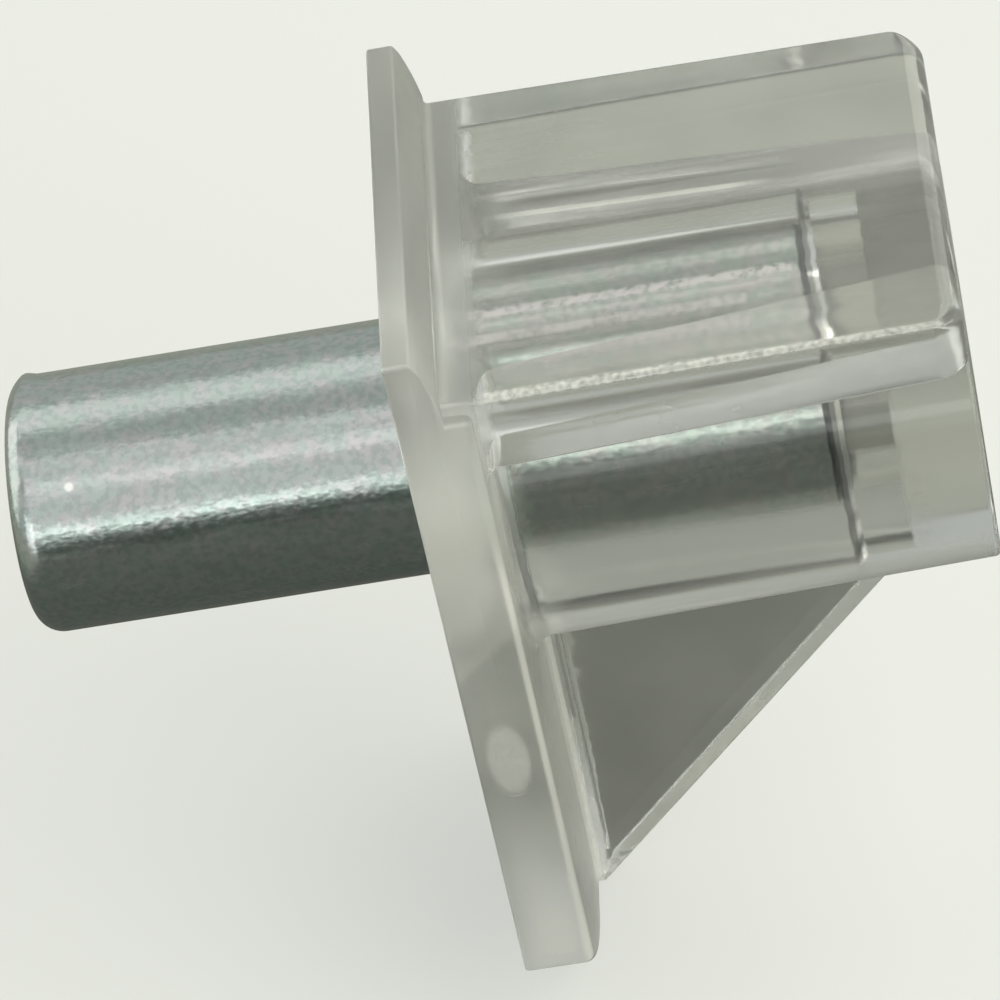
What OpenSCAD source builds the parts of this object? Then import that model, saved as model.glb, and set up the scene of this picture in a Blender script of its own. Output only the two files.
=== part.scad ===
// Shelf support pin: a plated steel pin pressed into a clear moulded bracket.
// The pin lies along X and points to -X, into the hole of the cabinet side.
// The origin is on the pin's axis, in the plane of the bracket's back face.

/* [Steel pin] */
// Diameter of the free end, which is the nominal hole it plugs into
pin_d = 5; // [4.7:0.1:6]
// Diameter of the shank that the bracket holds
shank_d = 4.68; // [4:0.02:4.68]
// Length of pin that stands out behind the back plate
pin_out = 7.9; // [5:0.1:12]
// Length of shank held inside the bracket
pin_in = 7.75; // [6:0.05:12]
// Rounding of the pin's outer end
pin_lead_r = 0.5; // [0.1:0.05:1]
// Tilt of the pin's outer end, which is cropped a little out of square, in degrees
crop_tilt = 2; // [0.5:0.5:4]
// Offset of the outer end's rounding from the pin's axis, towards the longer side
crop_shift = 0.14; // [0.05:0.01:0.2]
// Direction of the longer side, turned about the pin's axis from straight down, in degrees
crop_turn = -56; // [-180:1:180]
// Chamfer of the shank's inner end
pin_inner_break = 0.12; // [0.05:0.01:0.3]

/* [Back plate] */
// Width of the back plate
plate_w = 9.6; // [9.2:0.1:12]
// Thickness of the back plate
plate_t = 1.38; // [1.1:0.02:2]
// Depth of the plate's foot below the pin's axis
plate_drop = 11.9; // [9:0.1:16]
// Radius of the curved foot
foot_r = 6.5; // [5:0.1:12]
// Rounding of the plate's outline on its front
plate_edge_r = 0.18; // [0.05:0.01:0.25]
// Rounding of the plate's outline on its back, against the cabinet side
plate_back_r = 0.06; // [0.02:0.01:0.12]
// Drop from the seat to the plate's shoulders, beside the seat
shoulder_drop = 0.26; // [0.2:0.02:0.45]

/* [Lip] */
// Height of the lip above the seat
lip_h = 1.3; // [0.6:0.1:3]
// Thickness of the lip where it leaves the seat
lip_root_t = 0.86; // [0.8:0.02:1]
// Thickness of the lip along its top
lip_top_t = 0.54; // [0.4:0.02:0.7]
// Radius of the lip's bulged front
lip_front_r = 6.5; // [4:0.5:12]
// Radius of the hollow between the lip and the seat
lip_hollow_r = 0.2; // [0.1:0.05:0.6]

/* [Seat] */
// Plastic between the top of the boss and the seat
seat_cover = 0.65; // [0.5:0.01:1.5]
// Step in from the plate's side to the seat's side, at the root
seat_inset = 0.27; // [0.2:0.01:0.6]
// Narrowing of each side from root to nose
seat_side_draft = 0.12; // [0.02:0.02:0.3]
// Thickness of the seat at the root
seat_t = 1.72; // [1.42:0.02:2]
// Thickness of the seat at the nose
seat_nose_t = 1.36; // [0.9:0.02:1.4]
// Rounding of the seat's front corners, seen from above
seat_corner_r = 0.6; // [0.3:0.1:1]
// Rounding of the seat's top front edge
seat_nose_r = 0.4; // [0.2:0.05:0.6]

/* [Boss] */
// Wall of the boss around the bore, at the back plate
boss_wall = 1.66; // [1.3:0.01:2]
// Amount the boss's radius loses from the plate to the nose
boss_draft = 0.18; // [0.04:0.02:0.3]
// Rounding of the boss's front edge
boss_nose_r = 0.12; // [0.05:0.01:0.4]

/* [Bore] */
// Gap between the shank and its bore, all round
pin_gap = 0.02; // [0.01:0.01:0.1]
// Width of the conical shoulder that stops the shank
stop_w = 0.2; // [0.15:0.05:0.5]
// Length of the air pocket past the shank
pocket_l = 1.1; // [0.5:0.1:2]
// Plastic between the pocket and the nose
nose_wall = 1.65; // [1.2:0.05:3]
// Lead-in chamfer at the bore's mouth
mouth_break = 1; // [0.2:0.05:1.1]

/* [Rib] */
// Thickness of the rib under the boss
rib_t = 1.2; // [1:0.1:2.4]
// Distance from the nose to where the rib leaves the boss
rib_setback = 1.48; // [1:0.02:4]
// Width of the rib's blunt lower end
rib_toe = 0.15; // [0.05:0.01:0.4]
// Gap between the rib's lower end and the curved edge of the foot
rib_foot_gap = 0.02; // [0.02:0.01:1]

/* [Blends] */
// Radius of the hollows where the plate, seat, boss and rib meet
blend_r = 0.4; // [0.2:0.05:0.6]

/* [Hidden] */
$fn = 96;
// Depth that a cutter bites into the faces it blends, so that they cross cleanly
bite = 0.02;
// Length that a piece of the bracket reaches into its neighbour, or a cutter past a face
sink = 0.5;
bore_r = shank_d / 2 + pin_gap;
boss_r = bore_r + boss_wall;
boss_nose_rad = boss_r - boss_draft;
reach = pin_in + pocket_l + nose_wall;
seat_z = boss_r + seat_cover;
seat_w = plate_w - 2 * seat_inset;
seat_under_z = seat_z - seat_t;
plate_top_z = seat_z + lip_h;
foot_centre_z = foot_r - plate_drop;
rib_tip_x = reach - rib_setback;
rib_low_z = foot_z(rib_t / 2 + blend_r) + rib_foot_gap;

// Radius of the boss at a distance x from the back face
function boss_rad(x) = boss_r - boss_draft * (x - plate_t) / (reach - plate_t);

// Height of the foot's curved edge at a distance y from the middle
function foot_z(y) = foot_centre_z - sqrt(foot_r * foot_r - y * y);

// A shape drawn in X and Z, given a width along Y, centred
module across(width) { rotate([90, 0, 0]) linear_extrude(width, center = true) children(); }

// A ring or solid turned about the pin's axis, drawn as radius and x
module turned() { rotate([0, 90, 0]) rotate_extrude() children(); }

// What a square outer corner loses when it is rounded: the corner is at the origin and fills -x, -y
module corner_waste(r) {
    difference() {
        translate([-r, -r]) square(r + sink);
        translate([-r, -r]) circle(r);
    }
}

// Filling of a hollow corner: the faces it joins are x = 0 and y = 0
module hollow(r) {
    difference() {
        translate([-sink, -sink]) square(sink + r - bite);
        translate([r - bite, r - bite]) circle(r);
    }
}

// What the cropped and rounded outer end takes off the pin
module crop_waste() {
    rim = pin_d / 2 + crop_shift + bite;
    rotate([crop_turn, 0, 0]) translate([-pin_out, 0, 0]) rotate([0, crop_tilt, 0])
    translate([0, 0, -crop_shift]) turned() {
        translate([0, -2 * sink]) square([rim + sink, 2 * sink]);
        translate([rim, 0]) mirror([0, 1]) corner_waste(pin_lead_r);
    }
}

module steel_pin() {
    color([0.72, 0.74, 0.74])
    difference() {
        turned() polygon([
            [0, -pin_out - sink], [pin_d / 2, -pin_out - sink], [pin_d / 2, 0], [shank_d / 2, 0],
            [shank_d / 2, pin_in - pin_inner_break], [shank_d / 2 - pin_inner_break, pin_in], [0, pin_in]]);
        crop_waste();
    }
}

// Blank of the back plate: straight sides above, the curved foot below, every long edge rounded
module plate_blank() {
    side = plate_w / 2;
    intersection() {
        translate([0, 0, -plate_drop]) linear_extrude(plate_drop + plate_top_z) difference() {
            translate([0, -side]) square([plate_t, plate_w]);
            for (s = [0, 1]) mirror([0, s]) {
                translate([plate_t, side]) corner_waste(plate_edge_r);
                translate([0, side]) mirror([1, 0]) corner_waste(plate_back_r);
            }
        }
        union() {
            translate([0, -side, foot_centre_z]) cube([plate_t, plate_w, plate_top_z - foot_centre_z]);
            translate([0, 0, foot_centre_z]) turned() difference() {
                square([foot_r, plate_t]);
                translate([foot_r, plate_t]) corner_waste(plate_edge_r);
                translate([foot_r, 0]) mirror([0, 1]) corner_waste(plate_back_r);
            }
        }
    }
}

module back_plate() {
    intersection() {
        plate_blank();
        across(plate_w + sink) {
            translate([0, -plate_drop]) square([plate_t, plate_drop + seat_z - shoulder_drop]);
            lip_profile();
        }
    }
}

module lip_profile() {
    chord = norm([lip_root_t - lip_top_t, lip_h]);
    tilt = atan2(lip_root_t - lip_top_t, lip_h);
    depth = sqrt(lip_front_r * lip_front_r - chord * chord / 4);
    intersection() {
        translate([0, seat_z - sink]) square([lip_root_t, lip_h + sink]);
        translate([(lip_root_t + lip_top_t) / 2 - depth * cos(tilt),
                   seat_z + lip_h / 2 - depth * sin(tilt)]) circle(lip_front_r, $fn = 360);
    }
}

module seat() {
    half = seat_w / 2;
    nose_half = half - seat_side_draft;
    intersection() {
        across(plate_w) {
            difference() {
                polygon([[plate_t - sink, seat_z], [plate_t - sink, seat_under_z], [plate_t, seat_under_z],
                         [reach, seat_z - seat_nose_t], [reach, seat_z]]);
                translate([reach, seat_z]) corner_waste(seat_nose_r);
            }
            translate([lip_root_t, seat_z]) hollow(lip_hollow_r);
            translate([plate_t, seat_under_z]) mirror([0, 1]) hollow(blend_r);
        }
        linear_extrude(seat_z + lip_h) difference() {
            polygon([[0, -half], [plate_t, -half], [reach, -nose_half],
                     [reach, nose_half], [plate_t, half], [0, half]]);
            for (s = [0, 1]) mirror([0, s]) translate([reach, nose_half]) corner_waste(seat_corner_r);
        }
    }
}

module boss() {
    turned() {
        difference() {
            polygon([[0, plate_t - sink], [boss_r, plate_t - sink], [boss_r, plate_t],
                     [boss_nose_rad, reach], [0, reach]]);
            translate([boss_nose_rad, reach]) corner_waste(boss_nose_r);
        }
        translate([boss_r, plate_t]) hollow(blend_r);
    }
}

module rib() {
    intersection() {
        across(rib_t + 4 * blend_r) polygon([
            [plate_t - sink, 0], [plate_t - sink, rib_low_z], [plate_t + rib_toe, rib_low_z],
            [rib_tip_x, bite - boss_rad(rib_tip_x)], [rib_tip_x, 0]]);
        translate([0, 0, -plate_drop]) linear_extrude(plate_drop) {
            translate([plate_t - sink, -rib_t / 2]) square([reach, rib_t]);
            for (s = [0, 1]) mirror([0, s]) translate([plate_t, rib_t / 2]) hollow(blend_r);
        }
    }
}

module support_body() {
    color([0.8, 0.82, 0.76, 0.45])
    difference() {
        union() {
            back_plate();
            seat();
            boss();
            rib();
        }
        turned() polygon([
            [0, -sink], [bore_r + mouth_break + sink, -sink], [bore_r, mouth_break], [bore_r, pin_in],
            [bore_r - stop_w, pin_in + stop_w], [bore_r - stop_w, pin_in + pocket_l], [0, pin_in + pocket_l]]);
    }
}

support_body();
steel_pin();
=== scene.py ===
import math

import bmesh
import bpy
from mathutils import Matrix, Vector


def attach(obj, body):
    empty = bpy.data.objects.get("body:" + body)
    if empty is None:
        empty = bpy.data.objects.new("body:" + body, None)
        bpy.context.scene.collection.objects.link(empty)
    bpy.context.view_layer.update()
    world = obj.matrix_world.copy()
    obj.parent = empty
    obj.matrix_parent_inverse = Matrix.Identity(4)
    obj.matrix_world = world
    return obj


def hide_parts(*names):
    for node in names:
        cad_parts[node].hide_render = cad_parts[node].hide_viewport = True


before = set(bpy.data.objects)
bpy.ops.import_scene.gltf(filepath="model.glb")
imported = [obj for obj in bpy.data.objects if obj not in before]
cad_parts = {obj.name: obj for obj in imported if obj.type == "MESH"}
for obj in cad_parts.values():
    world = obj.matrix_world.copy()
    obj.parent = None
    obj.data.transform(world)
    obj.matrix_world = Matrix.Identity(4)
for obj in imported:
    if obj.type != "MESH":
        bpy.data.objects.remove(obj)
bpy.context.view_layer.update()
print("frame loaded:", ", ".join(sorted(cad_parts)))

mm = 0.001  # every size below is in millimetres


# Camera

camera = {"target": (1.084, 0, -1.734), "distance": 125.056, "azimuth": 5.959, "elevation": 41.0, "roll": 12.909,
          "lens": 232.37, "sensor": 36, "near": 10, "far": 10000}


def placeCamera():
    turn, rise, roll = (math.radians(camera[name]) for name in ("azimuth", "elevation", "roll"))
    back = Vector((math.cos(rise) * math.sin(turn), -math.cos(rise) * math.cos(turn), math.sin(rise)))
    level = Vector((math.cos(turn), math.sin(turn), 0))
    upright = back.cross(level)
    right = level * math.cos(roll) - upright * math.sin(roll)
    up = level * math.sin(roll) + upright * math.cos(roll)
    data = bpy.data.cameras.new("camera")
    data.lens, data.sensor_width = camera["lens"], camera["sensor"]
    data.clip_start, data.clip_end = camera["near"] * mm, camera["far"] * mm
    holder = bpy.data.objects.new("camera", data)
    stand = Matrix((right, up, back)).transposed().to_4x4()
    stand.translation = (Vector(camera["target"]) + back * camera["distance"]) * mm
    holder.matrix_world = stand
    bpy.context.scene.collection.objects.link(holder)
    bpy.context.scene.camera = holder


placeCamera()
print("camera placed")


# Shader sheets: a Value is a socket that can stand in a sum

class Value:
    def __init__(self, sheet, socket):
        self.sheet, self.socket = sheet, socket

    def maths(self, operation, first, second):
        return self.sheet.add("ShaderNodeMath", {"operation": operation}, {0: first, 1: second})["Value"]

    def __add__(self, other): return self.maths("ADD", self, other)
    def __radd__(self, other): return self.maths("ADD", other, self)
    def __sub__(self, other): return self.maths("SUBTRACT", self, other)
    def __rsub__(self, other): return self.maths("SUBTRACT", other, self)
    def __mul__(self, other): return self.maths("MULTIPLY", self, other)
    def __rmul__(self, other): return self.maths("MULTIPLY", other, self)
    def __abs__(self): return self.maths("ABSOLUTE", self, 0)


class Sheet:
    def __init__(self, name):
        self.material = bpy.data.materials.new(name)
        self.material.use_nodes = True
        self.tree = self.material.node_tree
        self.tree.nodes.clear()
        self.place = self.add("ShaderNodeTexCoord")["Object"]

    def add(self, kind, settings=None, inputs=None):
        node = self.tree.nodes.new(kind)
        for key, value in (settings or {}).items():
            setattr(node, key, value)
        for key, value in (inputs or {}).items():
            if isinstance(value, Value):
                self.tree.links.new(value.socket, node.inputs[key])
            else:
                node.inputs[key].default_value = value
        return {socket.identifier: Value(self, socket) for socket in node.outputs}

    def noise(self, scale, detail, place=None):
        return self.add("ShaderNodeTexNoise", None,
                        {"Vector": place or self.place, "Scale": scale, "Detail": detail})["Fac"]

    def ramp(self, value, low, high):  # 0 below low, 1 above high
        return self.add("ShaderNodeMapRange", {"interpolation_type": "SMOOTHSTEP"},
                        {"Value": value, "From Min": low, "From Max": high})["Result"]

    def after(self, value, low, high):  # the same, in millimetres
        return self.ramp(value, low * mm, high * mm)

    def before(self, value, low, high):  # 1 below low, 0 above high, in millimetres
        return 1 - self.after(value, low, high)

    def band(self, value, low, high, soft):  # 1 between low and high, in millimetres
        return self.after(value, low - soft, low) * self.before(value, high, high + soft)

    def blend(self, share, first, second):
        return self.add("ShaderNodeMix", {"data_type": "RGBA"}, {0: share, 6: first, 7: second})["Result_Color"]

    def vector(self, operation, first, second):
        return self.add("ShaderNodeVectorMath", {"operation": operation}, {0: first, 1: second})["Vector"]

    def stretch(self, x, y, z):
        return self.vector("MULTIPLY", self.place, (x, y, z))

    def rumple(self, scale, strength, place):  # a surface normal that wavers from spot to spot
        noise = self.add("ShaderNodeTexNoise", None, {"Vector": place, "Scale": scale, "Detail": 1})["Color"]
        even = (0.5, 0.5, 0.5)  # the middle of the noise, which leaves the normal as it is
        waver = self.vector("MULTIPLY", self.vector("SUBTRACT", noise, even), (strength, strength, strength))
        normal = self.add("ShaderNodeNewGeometry")["Normal"]
        return self.vector("NORMALIZE", self.vector("ADD", normal, waver), (0, 0, 0))

    def split(self, vector):
        parts = self.add("ShaderNodeSeparateXYZ", None, {0: vector})
        return [parts[name] for name in "XYZ"]

    def finish(self, surface):
        self.add("ShaderNodeOutputMaterial", None, {"Surface": surface})
        return self.material


# Mesh tools

def roundPath(corners, steps=8):  # corners are (a, b, radius); a radius of 0 stays sharp
    points = []
    for i, (a, b, radius) in enumerate(corners):
        here = Vector((a, b))
        if radius == 0:
            points.append((a, b))
            continue
        before = (Vector(corners[i - 1][:2]) - here).normalized()
        after = (Vector(corners[(i + 1) % len(corners)][:2]) - here).normalized()
        half = before.angle(after) / 2
        centre = here + (before + after).normalized() * radius / math.sin(half)
        first, last = (here + side * radius / math.tan(half) - centre for side in (before, after))
        start = math.atan2(first.y, first.x)
        turn = (math.atan2(last.y, last.x) - start + math.pi) % (2 * math.pi) - math.pi
        points += arc(centre, radius, math.degrees(start), math.degrees(start + turn), steps)
    return points


def arc(centre, radius, start, end, steps):  # from start to end in degrees, with both ends
    angles = [math.radians(start + (end - start) * k / steps) for k in range(steps + 1)]
    return [(centre[0] + radius * math.cos(a), centre[1] + radius * math.sin(a)) for a in angles]


def insetPath(points, depth, sharpest=0.5):  # sharpest keeps a tight corner from shooting out
    area = sum(p[0] * q[1] - q[0] * p[1] for p, q in zip(points, points[1:] + points[:1]))
    moved = []
    for i, spot in enumerate(points):
        here = Vector(spot)
        before = (here - Vector(points[i - 1])).normalized()
        after = (Vector(points[(i + 1) % len(points)]) - here).normalized()
        along = (before + after).normalized()
        shift = math.copysign(depth, area) / max(sharpest, along.dot(after))
        moved.append((here.x - along.y * shift, here.y + along.x * shift))
    return moved


def skin(name, rings):  # rings hold as many points each; the first and last are capped
    count = len(rings[0])
    faces = [tuple(range(count)), tuple((len(rings) - 1) * count + i for i in range(count))]
    for r in range(len(rings) - 1):
        for i in range(count):
            j = (i + 1) % count
            faces.append((r * count + i, r * count + j, (r + 1) * count + j, (r + 1) * count + i))
    mesh = bpy.data.meshes.new(name)
    mesh.from_pydata([tuple(c * mm for c in p) for ring in rings for p in ring], [], faces)
    shell = bmesh.new()
    shell.from_mesh(mesh)
    bmesh.ops.recalc_face_normals(shell, faces=shell.faces)
    shell.to_mesh(mesh)
    shell.free()
    piece = bpy.data.objects.new(name, mesh)
    bpy.context.scene.collection.objects.link(piece)
    return piece


def turned(name, path, steps=192):  # path of (radius, x), turned about the pin's axis
    turns = [2 * math.pi * k / steps for k in range(steps)]
    return skin(name, [[(x, radius * math.sin(a), -radius * math.cos(a)) for a in turns] for radius, x in path])


def easing(radius, steps=6):  # (advance, inset) pairs of a quarter round
    turns = [math.pi / 2 * k / steps for k in range(steps + 1)]
    return [(radius * (1 - math.cos(a)), radius * (1 - math.sin(a))) for a in turns]


def pressed(name, profile, half, rounding=0):  # profile in X and Z, given a width in Y
    ends = easing(rounding) if rounding else [(0, 0)]
    levels = [(a - half, d) for a, d in ends] + [(half - a, d) for a, d in reversed(ends)]
    return skin(name, [[(x, y, z) for x, z in insetPath(profile, d)] for y, d in levels])


def combine(target, tool, operation="UNION"):
    cut = target.modifiers.new("cut", "BOOLEAN")
    cut.operation, cut.solver, cut.object = operation, "EXACT", tool
    bpy.context.view_layer.update()
    mesh = bpy.data.meshes.new_from_object(target.evaluated_get(bpy.context.evaluated_depsgraph_get()))
    target.modifiers.clear()
    target.data = mesh
    bpy.data.objects.remove(tool)


def smooth(piece, weld=1e-8, sliver=1e-7, sharpFrom=30, flatness=100):  # weld and sliver are in metres
    mesh = piece.data
    shell = bmesh.new()
    shell.from_mesh(mesh)
    bmesh.ops.remove_doubles(shell, verts=shell.verts, dist=weld)
    bmesh.ops.dissolve_degenerate(shell, edges=shell.edges, dist=sliver)
    shell.to_mesh(mesh)
    shell.free()
    mesh.shade_smooth()
    mesh.set_sharp_from_angle(angle=math.radians(sharpFrom))
    weigh = piece.modifiers.new("flatFaces", "WEIGHTED_NORMAL")
    weigh.mode, weigh.weight, weigh.keep_sharp = "FACE_AREA", flatness, True


# Steel pin: drawn wire, cropped to length and zinc plated

pin = {
    "radius": 2.5, "shank": 2.34, "step": 0.05, "out": 7.9, "in": 7.75, "innerBreak": 0.12, "turns": 160,
    "lead": 0.45, "leadSteps": 10, "rings": 5, "ringGap": 0.15,  # rings past the lead, so that the cropped end can lean
    "tilt": 2, "longSide": (0, -0.829, -0.559), "bend": 0.9,
    "burr": 0.05, "burrSide": (0, 0.65, 0.76), "burrAt": 0.36, "burrWidth": 0.14, "burrSpread": 6,
}


def makePin():
    end = -pin["out"]
    path = [(r, x) for x, r in arc((end + pin["lead"], pin["radius"] - pin["lead"]), pin["lead"], 180, 90,
                                   pin["leadSteps"])]
    path += [(pin["radius"], end + pin["lead"] + pin["ringGap"] * k) for k in range(1, pin["rings"] + 1)]
    path += [(pin["radius"], -pin["step"]), (pin["radius"] - pin["step"], 0), (pin["shank"], 0),
             (pin["shank"], pin["in"] - pin["innerBreak"]), (pin["shank"] - pin["innerBreak"], pin["in"])]
    piece = turned("zincPin", path, pin["turns"])
    longSide, burrSide = Vector(pin["longSide"]), Vector(pin["burrSide"]).normalized()
    for vertex in piece.data.vertices:
        spot = vertex.co / mm
        around = Vector((0, spot.y, spot.z))
        near = min(1, max(0, 1 - (spot.x - end) / pin["bend"]))
        lean = math.tan(math.radians(pin["tilt"])) * around.dot(longSide) * near * near
        ridge = math.exp(-((spot.x - end - pin["burrAt"]) / pin["burrWidth"]) ** 2)
        flare = pin["burr"] * ridge * max(0, around.normalized().dot(burrSide)) ** pin["burrSpread"]
        vertex.co = (Vector((spot.x - lean, spot.y, spot.z)) + around.normalized() * flare) * mm
    return piece


zinc = {
    "cool": (0.58, 0.66, 0.62, 1), "warm": (0.67, 0.66, 0.66, 1), "dull": (0.46, 0.52, 0.50, 1),
    "blotch": (2400, 3), "blotchEdge": (0.35, 0.65),  # noise scale and detail, and where the ramp starts and ends
    "fine": (7000, 2), "dullEdge": (0.60, 0.35), "dullShare": 0.6,
    "streak": (2500, 2), "streakEdge": (0.4, 0.7), "streakAlong": 0.12,
    "rough": 0.18, "roughSpread": 0.10, "grain": 14000, "grainAlong": 0.45, "waver": 0.13,
    # painted highlights along the shank: x from and to, turn up from the front, outer and inner half widths, how
    # flecked
    "paintedHighlights": ((0.6, 7.55, 71.5, 4.2, 0.8, 1), (0.6, 6.6, 55.5, 4.0, 0.8, 0.5)),
    "highlightColour": (0.98, 0.93, 0.95, 1), "highlightEnds": (0.4, 0.1), "fleckEdge": (0.25, 0.60), "evenShare": 0.8,
    "highlightDull": 0.75, "highlightRough": 0.35,
    # a painted glint: a small white, less metallic spot on the bare pin
    "paintedGlint": (-6.67, -1.74, 1.80), "paintedGlintEdge": (0.05, 0.12), "glintColour": (0.98, 0.98, 0.96, 1),
    # painted shade: near-black over the pin's inner end, in the bore
    "cropped": (0.08, 0.09, 0.09, 1), "endShadeEdge": (7.6, 7.64),
}


# painted highlights: pale, less metallic lines along the pin inside the bore
def paintedHighlightLines(sheet, x, y, z, fine):
    paintedHighlight = 0
    fadeIn, fadeOut = zinc["highlightEnds"]
    for start, end, turn, wide, narrow, fleck in zinc["paintedHighlights"]:
        turn, wide, narrow = (math.radians(angle) for angle in (turn, wide, narrow))
        high, ahead = math.sin(turn) / pin["shank"] / mm, -math.cos(turn) / pin["shank"] / mm
        line = sheet.ramp(y * ahead + z * high, math.cos(wide), math.cos(narrow))
        line = line * sheet.after(x, start, start + fadeIn) * sheet.before(x, end - fadeOut, end)
        paintedHighlight = line * (sheet.ramp(fine, *zinc["fleckEdge"]) * fleck + (1 - fleck) * zinc["evenShare"]) + paintedHighlight
    return paintedHighlight


def makeZinc():
    sheet = Sheet("zincPlate")
    x, y, z = sheet.split(sheet.place)
    blotch = sheet.ramp(sheet.noise(*zinc["blotch"]), *zinc["blotchEdge"])
    fine = sheet.noise(*zinc["fine"])
    streak = sheet.ramp(sheet.noise(*zinc["streak"], sheet.stretch(zinc["streakAlong"], 1, 1)), *zinc["streakEdge"])
    paintedHighlight = paintedHighlightLines(sheet, x, y, z, fine)
    away = sheet.add("ShaderNodeVectorMath", {"operation": "DISTANCE"},
                     {0: sheet.place, 1: tuple(c * mm for c in zinc["paintedGlint"])})["Value"]
    # painted glint on the bare pin
    paintedGlint = sheet.before(away, *zinc["paintedGlintEdge"])
    colour = sheet.blend(blotch, zinc["cool"], zinc["warm"])
    colour = sheet.blend(sheet.ramp(fine, *zinc["dullEdge"]) * zinc["dullShare"], colour, zinc["dull"])
    colour = sheet.blend(paintedHighlight, colour, zinc["highlightColour"])
    colour = sheet.blend(paintedGlint, colour, zinc["glintColour"])
    # painted shade over the pin's inner end
    colour = sheet.blend(sheet.after(x, *zinc["endShadeEdge"]), colour, zinc["cropped"])
    return sheet.finish(sheet.add("ShaderNodeBsdfPrincipled", None, {
        "Base Color": colour, "Metallic": 1 - paintedGlint - paintedHighlight * zinc["highlightDull"],
        "Roughness": streak * zinc["roughSpread"] + paintedHighlight * zinc["highlightRough"] + zinc["rough"],
        "Normal": sheet.rumple(zinc["grain"], zinc["waver"], sheet.stretch(zinc["grainAlong"], 1, 1))})["BSDF"])


zincPin = makePin()
smooth(zincPin)
zincPin.data.materials.append(makeZinc())
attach(zincPin, "root")
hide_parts("steel_pin")
print("pin plated")


# Back plate with its curved foot and its lip, skinned through its thickness

plate = {
    "half": 4.8, "thick": 1.38, "shoulder": 4.41, "round": 0.18, "backRound": 0.06,
    "footRadius": 6.5, "footCentre": -5.4, "footCorner": 0.1, "footSteps": 36, "cornerSteps": 6,
    "lipTop": 5.97, "lipFoot": 4.67, "lipRoot": 0.86, "lipThick": 0.54, "lipFront": 6.5, "lipSteps": 14,
    "lipCorner": 0.1, "lipRound": 0.08, "lipRoundEnd": 25, "lipRoundSteps": 3, "ledge": 0.01,
}


def plateOutline(top, inset):
    half, foot, corner = plate["half"] - inset, plate["footRadius"] - inset, plate["footCorner"]
    inY = half - corner
    inZ = plate["footCentre"] - math.sqrt((foot - corner) ** 2 - inY ** 2)
    lean = math.degrees(math.atan2(inZ - plate["footCentre"], inY))
    lipCorner, steps = plate["lipCorner"], plate["cornerSteps"]
    side = arc((half - lipCorner, top - inset - lipCorner), lipCorner, 90, 0, steps)
    side += arc((inY, inZ), corner, 0, lean, steps)
    side += arc((0, plate["footCentre"]), foot, lean, -90, plate["footSteps"])[1:]
    return side + [(-y, z) for y, z in reversed(side[:-1])]


def makePlate():
    rise, run = plate["lipTop"] - plate["lipFoot"], plate["lipRoot"] - plate["lipThick"]
    chord, tilt = math.hypot(rise, run), math.atan2(run, rise)
    depth = math.sqrt(plate["lipFront"] ** 2 - chord ** 2 / 4)
    centreX = plate["lipThick"] + run / 2 - depth * math.cos(tilt)
    centreZ = plate["lipFoot"] + rise / 2 - depth * math.sin(tilt)
    levels = [(advance, plate["lipTop"], inset) for advance, inset in easing(plate["backRound"])]
    levels += [(plate["lipThick"] - plate["lipRound"] + out, plate["lipTop"] - plate["lipRound"] + up, 0)
               for out, up in arc((0, 0), plate["lipRound"], 90, plate["lipRoundEnd"], plate["lipRoundSteps"])]
    for k in range(2, plate["lipSteps"] + 1):  # the first steps are in the rounding
        z = plate["lipTop"] - rise * k / plate["lipSteps"]
        levels.append((centreX + math.sqrt(plate["lipFront"] ** 2 - (z - centreZ) ** 2), z, 0))
    levels.append((plate["lipRoot"] + plate["ledge"], plate["shoulder"], 0))
    levels += [(plate["thick"] - advance, plate["shoulder"], inset)
               for advance, inset in reversed(easing(plate["round"]))]
    return skin("clearBracket", [[(x, y, z) for y, z in plateOutline(top, inset)] for x, top, inset in levels])


bracket = makePlate()


# Seat: a slab skinned from its top down, with a wider rounding along the nose

seat = {
    "top": 4.67, "back": 0.5, "root": 1.38, "reach": 10.5, "half": 4.53, "draft": 0.12,
    "underRoot": 2.95, "underNose": 3.31, "corner": 0.6, "cornerSteps": 12,
    "noseRound": 0.4, "sideRound": 0.1, "roundSteps": 8, "underRound": 0.08, "underSteps": 4,
    "lipHollow": 0.2, "plateHollow": 0.4, "hollowEnd": 0.1,
}


def makeSeat():
    half, nose = seat["half"], seat["half"] - seat["draft"]
    plan = roundPath([(seat["back"], -half, 0), (seat["root"], -half, 0), (seat["reach"], -nose, seat["corner"]),
                      (seat["reach"], nose, seat["corner"]), (seat["root"], half, 0), (seat["back"], half, 0)],
                     seat["cornerSteps"])
    inward = [Vector(q) - Vector(p) for p, q in zip(plan, insetPath(plan, 1))]
    slope = (seat["underNose"] - seat["underRoot"]) / (seat["reach"] - seat["root"])

    def rounding(x):  # grows smoothly to the nose's over the front corner
        share = min(1, max(0, (x - seat["reach"]) / seat["corner"] + 1))
        return seat["sideRound"] + (seat["noseRound"] - seat["sideRound"]) * share * share * (3 - 2 * share)

    rings = []
    for drop, inset in easing(1, seat["roundSteps"]):
        rings.append([(x + n.x * inset * rounding(x), y + n.y * inset * rounding(x), seat["top"] - drop * rounding(x))
                      for (x, y), n in zip(plan, inward)])
    for lift, inset in reversed(easing(seat["underRound"], seat["underSteps"])):
        rings.append([(x + n.x * inset, y + n.y * inset,
                       seat["underRoot"] + (x + n.x * inset - seat["root"]) * slope + lift)
                      for (x, y), n in zip(plan, inward)])
    return skin("seat", rings)


def hollow(x, z, radius, way, sink=0.3, steps=10):  # fills a hollow corner; way is 1 above a face and -1 under it
    curve = [(px, z + way * (pz - z)) for px, pz in arc((x + radius, z + radius), radius, 180, 270, steps)]
    return [(x - sink, z + way * radius)] + curve + [(x + radius, z - way * sink), (x - sink, z - way * sink)]


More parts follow.
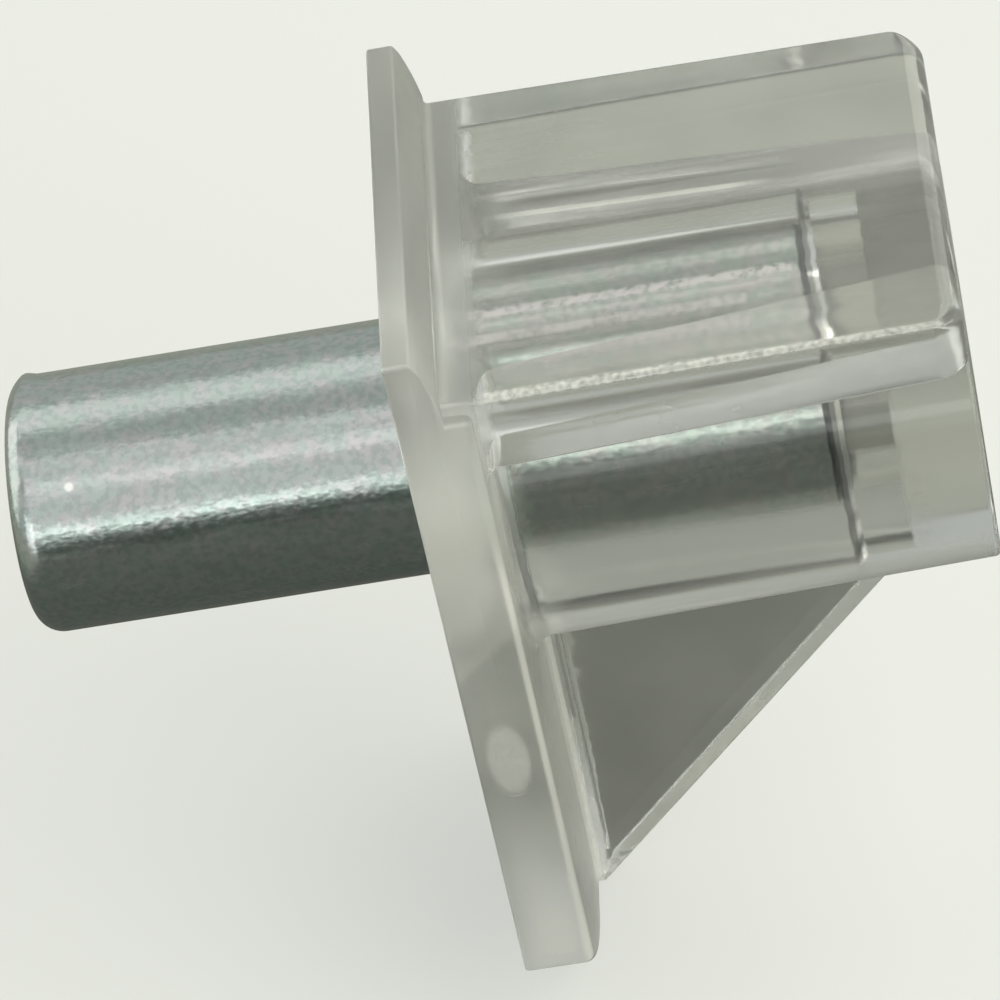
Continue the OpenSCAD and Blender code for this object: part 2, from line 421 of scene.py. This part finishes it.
hollowHalf = seat["half"] - seat["hollowEnd"]
combine(bracket, makeSeat())
combine(bracket, pressed("lipHollow", hollow(plate["lipRoot"], seat["top"], seat["lipHollow"], 1), hollowHalf))
combine(bracket, pressed("underHollow", hollow(seat["root"], seat["underRoot"], seat["plateHollow"], -1), hollowHalf))


# Boss, rib and bore

boss = {"root": 4.02, "nose": 3.84, "sink": 0.3, "noseRound": 0.12, "noseSteps": 6, "hollow": 0.4, "hollowSteps": 10}
rib = {"half": 0.6, "low": -11.803, "toe": 0.15, "tip": 9.02, "round": 0.05, "sink": 0.5, "top": -1,
       "hollow": 0.4, "hollowLow": -11.5, "hollowTop": -3}
bore = {"radius": 2.36, "mouth": 1.0, "stopX": 7.75, "stop": 0.2, "end": 8.85, "past": 0.5}


def makeBoss():
    foot, hollowR, noseR = seat["root"], boss["hollow"], boss["noseRound"]
    path = [(boss["root"] + hollowR, foot - boss["sink"])]
    path += [(r, x) for x, r in arc((foot + hollowR, boss["root"] + hollowR), hollowR, 180, 270, boss["hollowSteps"])]
    path += [(r, x) for x, r in arc((seat["reach"] - noseR, boss["nose"] - noseR), noseR, 90, 0, boss["noseSteps"])]
    return turned("boss", path)


def makeRib():
    foot, back = plate["thick"], plate["thick"] - rib["sink"]
    return pressed("rib", [(back, rib["top"]), (back, rib["low"]), (foot + rib["toe"], rib["low"]),
                           (rib["tip"], -boss["nose"]), (rib["tip"], rib["top"])], rib["half"], rib["round"])


def makeRibHollow(side):
    section = [(x, side * y) for x, y in hollow(plate["thick"], rib["half"], rib["hollow"], 1)]
    return skin("ribHollow", [[(x, y, z) for x, y in section] for z in (rib["hollowLow"], rib["hollowTop"])])


def makeBore():
    radius, narrow = bore["radius"], bore["radius"] - bore["stop"]
    return turned("bore", [(radius + bore["mouth"] + bore["past"], -bore["past"]), (radius, bore["mouth"]),
                           (radius, bore["stopX"]), (narrow, bore["stopX"] + bore["stop"]), (narrow, bore["end"])])


combine(bracket, makeBoss())
combine(bracket, makeRib())
for side in (-1, 1):
    combine(bracket, makeRibHollow(side))
combine(bracket, makeBore(), "DIFFERENCE")


# Shallow mould marks on the plate's near side

marks = {  # x, z, half sizes, corner, and how often the soft edge is squared: more is squarer
    "ejector": (0.63, -4.08, 0.44, 0.97, 0.43, 1),
    "gate": (0.80, -8.82, 0.38, 0.67, 0.10, 3),
}
markDepth, markPast = 0.012, 0.1


def makeMark(x, z, halfX, halfZ, corner):
    patch = roundPath([(x + a * halfX, z + b * halfZ, corner) for a, b in ((-1, -1), (1, -1), (1, 1), (-1, 1))])
    face = -plate["half"]
    return skin("mark", [[(px, y, pz) for px, pz in patch] for y in (face - markPast, face + markDepth)])


for *shape, squaring in marks.values():
    combine(bracket, makeMark(*shape), "DIFFERENCE")


smooth(bracket)
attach(bracket, "root")
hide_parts("support_body")
print("bracket built:", len(bracket.data.polygons), "faces")


# Clear plastic: a pair is where a soft edge starts and ends, in millimetres, or in plain numbers for noise and normals

clear = {
    "colour": (0.96, 0.955, 0.925, 1), "index": 1.585, "rough": 0.10, "waver": 0.07,
    "haze": 0.012, "hazeColour": (0.95, 0.94, 0.87, 1), "hazeRough": 0.5,
    "cloud": (500, 2), "cloudGain": 2, "grain": (9000, 0),  # noise scale and detail
    "streak": (3000, 1), "streakAlong": 0.05, "streakEdge": (0.35, 0.7),
    "plate": {"end": (1.40, 1.55), "rough": 0.30, "roughSpread": 0.06, "haze": 0.28, "footHaze": 0.12,
              "footEdge": (-2.15, -1.80), "footLean": 0.865,  # clearer below a slanting line
              "topEdge": (2.0, 4.8), "topLoss": 0.8},
    "seat": {"start": (2.9, 3.2), "haze": 0.07},
    "rib": {"end": (-4.1, -3.9), "haze": 0.07},
    "side": {"near": (-4.36, -4.30), "top": (4.5, 4.6), "along": (-6, 8), "haze": 0.05},  # the seat's near side
    "slope": {"forward": (0.3, 0.6), "down": (-0.6, -0.3), "haze": 0.92},  # the rib's long edge
    "joint": {"near": (-4.72, -4.62), "top": (0, 2), "edge": (1.29, 1.36, 0.05), "foot": (1.42, 1.50, 0.06),
              "haze": 0.40},  # painted highlights along the plate's front edge, and where the rib meets it
    "low": {"top": (-1.9, -1.0), "far": (0, 0.5), "nose": (10.2, 10.4), "outside": (12.6, 13.6),
            "haze": 0.50},  # the boss's lower near side; outside is a radius squared
    "flank": {"far": (2.0, 2.6), "rough": 0.45},  # the boss's far side
    "frost": {"near": (-4.7, -4.6), "edge": (0.45, 1.15), "least": 0.5, "spread": 0.5,
              "rough": 0.35, "haze": 0.36},  # in the mould marks
    "edge": {"top": (4.50, 4.62), "near": (-4.40, -4.26), "start": (1.4, 1.8), "grain": 1.3,
             "haze": 0.52},  # painted highlight: a flecked pale line along the seat's near top edge
    "paintedReflection": {"top": (4.6, 4.65), "soft": 0.07, "fade": 1.2, "haze": 0.34},  # painted reflections: pale lines on top of the seat
    "paintedReflections": ((1.40, 0.055, 0.05, 2.7, 8.0), (0.75, 0.04, 0.04, 2.9, 6.4)),  # y, slant, half width, x from and to
    "boreShade": {"x": (7.73, 7.84, 0.03), "across": (-2.42, 2.42, 0.02), "haze": 0.6,
             "colour": (0.05, 0.05, 0.05, 1)},  # painted shade: a dark ring at the bottom of the bore
}


def markFrost(sheet, x, y, z, grain):
    frost = clear["frost"]
    for markX, markZ, halfX, halfZ, corner, squaring in marks.values():
        across, along = (x - markX * mm) * (1 / halfX / mm), (z - markZ * mm) * (1 / halfZ / mm)
        for k in range(squaring):
            across, along = across * across, along * along
        inside = (1 - sheet.ramp(across + along, *frost["edge"])) * sheet.before(y, *frost["near"])
        yield inside * (grain * frost["spread"] + frost["least"])


def makeClear():
    sheet = Sheet("clearPlastic")
    x, y, z = sheet.split(sheet.place)
    faceX, _, faceZ = sheet.split(sheet.add("ShaderNodeNewGeometry")["Normal"])
    cloud = sheet.noise(*clear["cloud"]) * clear["cloudGain"]
    grain = sheet.noise(*clear["grain"])
    lengthwise = sheet.stretch(clear["streakAlong"], 1, 1)
    streaks = sheet.ramp(sheet.noise(*clear["streak"], lengthwise), *clear["streakEdge"])
    onPlate = sheet.before(x, *clear["plate"]["end"])
    offPlate = 1 - onPlate
    onSeat = sheet.after(z, *clear["seat"]["start"])
    onRib = sheet.before(z, *clear["rib"]["end"])

    part = clear["plate"]
    plateHaze = sheet.after(z - x * part["footLean"], *part["footEdge"]) * (part["haze"] - part["footHaze"])
    plateHaze = (plateHaze + part["footHaze"]) * (1 - sheet.after(z, *part["topEdge"]) * part["topLoss"])
    rough = onPlate * (cloud * part["roughSpread"] + (part["rough"] - clear["rough"])) + clear["rough"]
    share = onSeat * (clear["seat"]["haze"] - clear["haze"]) + onRib * (clear["rib"]["haze"] - clear["haze"])
    share = share + clear["haze"]
    share = (share + onPlate * (plateHaze - share)) * cloud

    part = clear["side"]
    side = offPlate * onSeat * sheet.before(y, *part["near"]) * sheet.before(z, *part["top"])
    share = share + side * sheet.after(x, *part["along"]) * part["haze"]

    part = clear["slope"]
    slope = offPlate * onRib * sheet.ramp(faceX, *part["forward"]) * (1 - sheet.ramp(faceZ, *part["down"]))
    share = share + slope * part["haze"]

    # painted highlights: pale milk along the plate's front edge and the rib's root
    part = clear["joint"]
    joint = sheet.band(x, *part["edge"]) * sheet.before(y, *part["near"]) * sheet.before(z, *part["top"])
    share = share + (joint + sheet.band(x, *part["foot"]) * onRib) * part["haze"]

    part = clear["low"]
    low = offPlate * (1 - onRib) * sheet.before(z, *part["top"]) * sheet.before(y, *part["far"])
    low = low * sheet.before(x, *part["nose"]) * sheet.ramp((y * y + z * z) * (1 / mm / mm), *part["outside"])
    share = share + low * part["haze"]

    part = clear["flank"]
    flank = offPlate * (1 - onRib) * sheet.after(y, *part["far"]) * (1 - onSeat)
    rough = rough + flank * streaks * part["rough"]

    for frosted in markFrost(sheet, x, y, z, grain):
        rough = rough + frosted * clear["frost"]["rough"]
        share = share + frosted * clear["frost"]["haze"]

    # painted highlight: flecked pale milk along the seat's near top edge
    part = clear["edge"]
    edge = sheet.after(z, *part["top"]) * sheet.before(y, *part["near"]) * sheet.after(x, *part["start"])
    share = share + edge * (grain * part["grain"]) * part["haze"]

    # painted reflections: pale lines of milk on top of the seat
    part = clear["paintedReflection"]
    for at, slant, wide, start, end in clear["paintedReflections"]:
        paintedReflection = sheet.band(y + x * slant, at - wide, at + wide, part["soft"]) * sheet.band(x, start, end, part["fade"])
        share = share + paintedReflection * sheet.after(z, *part["top"]) * streaks * part["haze"]

    # painted shade: a dark ring at the bottom of the bore, where the pin's end sits
    part = clear["boreShade"]
    boreShade = sheet.band(x, *part["x"]) * sheet.band(y, *part["across"]) * sheet.band(z, *part["across"])
    glass = sheet.add("ShaderNodeBsdfPrincipled", None, {
        "Base Color": clear["colour"], "Roughness": rough, "IOR": clear["index"], "Transmission Weight": 1.0,
        "Normal": sheet.rumple(clear["streak"][0], clear["waver"], lengthwise)})["BSDF"]
    milk = sheet.add("ShaderNodeBsdfPrincipled", None, {
        "Base Color": sheet.blend(boreShade, clear["hazeColour"], part["colour"]), "Roughness": clear["hazeRough"]})["BSDF"]
    share = share + boreShade * part["haze"]
    return sheet.finish(sheet.add("ShaderNodeMixShader", None, {0: share, 1: glass, 2: milk})["Shader"])


bracket.data.materials.append(makeClear())
for piece in (bracket, zincPin):  # light that bounces off the floor passes them by, for a quicker render
    piece.visible_diffuse = False
print("bracket cleared")


# Floor, cards and light

studio = {
    "size": 2000, "reach": 500,
    "floor": -11.95, "floorColour": (0.80, 0.80, 0.78, 1),
    "card": -12.4, "cardColour": (0.315, 0.325, 0.29, 1), "cardBack": (8, 20), "cardSide": (22, 45),
    # the card's dark, behind and under colours near the part are a painted shadow
    "flag": (32, -100, -12.4, 9), "darkColour": (0.105, 0.115, 0.105, 1),  # half width, y, bottom and top
    "behindColour": (0.12, 0.125, 0.108, 1), "behind": (1, 3),
    "underColour": (0.175, 0.18, 0.165, 1), "underFront": (-9, -3), "underStart": (-0.5, 0.8), "underEnd": (8.0, 9.2),
    "rough": 0.75, "roughSpread": 0.1, "patch": (40, 2), "gloss": 0.2,
    "sky": (0.48, 0.51, 0.49, 1), "skyStrength": 0.92,
}


def cardPaint(sheet):  # painted shadow: dark around the part, a little lighter straight under it, grey far behind and beside it
    x, y, _ = sheet.split(sheet.place)
    under = sheet.after(y, *studio["underFront"]) * sheet.after(x, *studio["underStart"])
    under = under * sheet.before(x, *studio["underEnd"])
    near = sheet.blend(under, studio["darkColour"], studio["underColour"])
    near = sheet.blend(sheet.after(y, *studio["behind"]), near, studio["behindColour"])
    middle = sheet.before(y, *studio["cardBack"]) * sheet.before(abs(x), *studio["cardSide"])
    return sheet.blend(middle, studio["cardColour"], near)


def makeCard(name, corners, paint, direct):
    mesh = bpy.data.meshes.new(name)
    mesh.from_pydata([tuple(c * mm for c in corner) for corner in corners], [], [(0, 1, 2, 3)])
    card = bpy.data.objects.new(name, mesh)
    sheet = Sheet(name)
    mesh.materials.append(sheet.finish(sheet.add("ShaderNodeBsdfPrincipled", None, {
        "Base Color": paint(sheet) if callable(paint) else paint, "Specular IOR Level": studio["gloss"],
        "Roughness": sheet.noise(*studio["patch"]) * studio["roughSpread"] + studio["rough"]})["BSDF"]))
    bpy.context.scene.collection.objects.link(card)
    card.visible_camera = direct
    for sight in ("visible_diffuse", "visible_glossy", "visible_transmission", "visible_shadow"):
        setattr(card, sight, not direct)


def flat(height):
    half = studio["size"] / 2
    return [(x * half, y * half, height) for x, y in ((-1, -1), (1, -1), (1, 1), (-1, 1))]


def upright(half, y, bottom, top):
    return [(-half, y, bottom), (half, y, bottom), (half, y, top), (-half, y, top)]


makeCard("floor", flat(studio["floor"]), studio["floorColour"], True)
makeCard("greyCard", flat(studio["card"]), cardPaint, False)  # seen only in and through the clear plastic
makeCard("blackFlag", upright(*studio["flag"]), studio["darkColour"], False)  # keeps light off the lower front

lamps = {  # azimuth and elevation as seen from the part, width and height in degrees, brightness, colour
    "keyRight": (50, 24, 48, 54, 1.7, (1, 0.98, 0.90)),
    "highRight": (92, 56, 60, 32, 1.4, (1, 0.97, 0.90)),
    "backRight": (150, 28, 32, 46, 1.3, (1, 0.97, 0.88)),
    "left": (-105, 24, 56, 50, 0.7, (0.97, 1, 0.93)),
    "frontLeft": (-32, 10, 26, 30, 0.9, (0.93, 1, 0.98)),
    "lowFront": (-6, 14, 40, 5, 1.6, (0.93, 1, 0.96)),
    "lowRight": (82, 6, 34, 10, 1.8, (1, 0.98, 0.90)),
    "softFront": (-8, 36, 34, 40, 0.26, (1, 0.92, 0.95)),
    "overFront": (-8, 55, 44, 16, 0.40, (1, 0.93, 0.95)),
    "overhead": (-20, 72, 70, 12, 0.40, (1, 0.95, 0.96)),
    "topBack": (-170, 58, 50, 26, 0.45, (0.98, 1, 0.97)),
}


def makeLamp(name, azimuth, elevation, width, height, brightness, colour):
    turn, rise = math.radians(azimuth), math.radians(elevation)
    way = Vector((math.sin(turn) * math.cos(rise), -math.cos(turn) * math.cos(rise), math.sin(rise)))
    data = bpy.data.lights.new(name, "AREA")
    data.shape = "RECTANGLE"
    sizes = [2 * studio["reach"] * mm * math.tan(math.radians(spread) / 2) for spread in (width, height)]
    data.size, data.size_y = sizes
    data.energy, data.color = brightness * math.pi * data.size * data.size_y, colour
    lamp = bpy.data.objects.new(name, data)
    lamp.location = way * studio["reach"] * mm
    lamp.rotation_euler = way.to_track_quat("Z", "Y").to_euler()
    bpy.context.scene.collection.objects.link(lamp)


for name, values in lamps.items():
    makeLamp(name, *values)

world = bpy.data.worlds.new("studio")
world.use_nodes = True
sky = world.node_tree.nodes["Background"]
sky.inputs["Color"].default_value = studio["sky"]
sky.inputs["Strength"].default_value = studio["skyStrength"]
bpy.context.scene.world = world
bpy.context.scene.view_settings.view_transform = "Standard"
print("floor and light set")

bpy.context.view_layer.update()
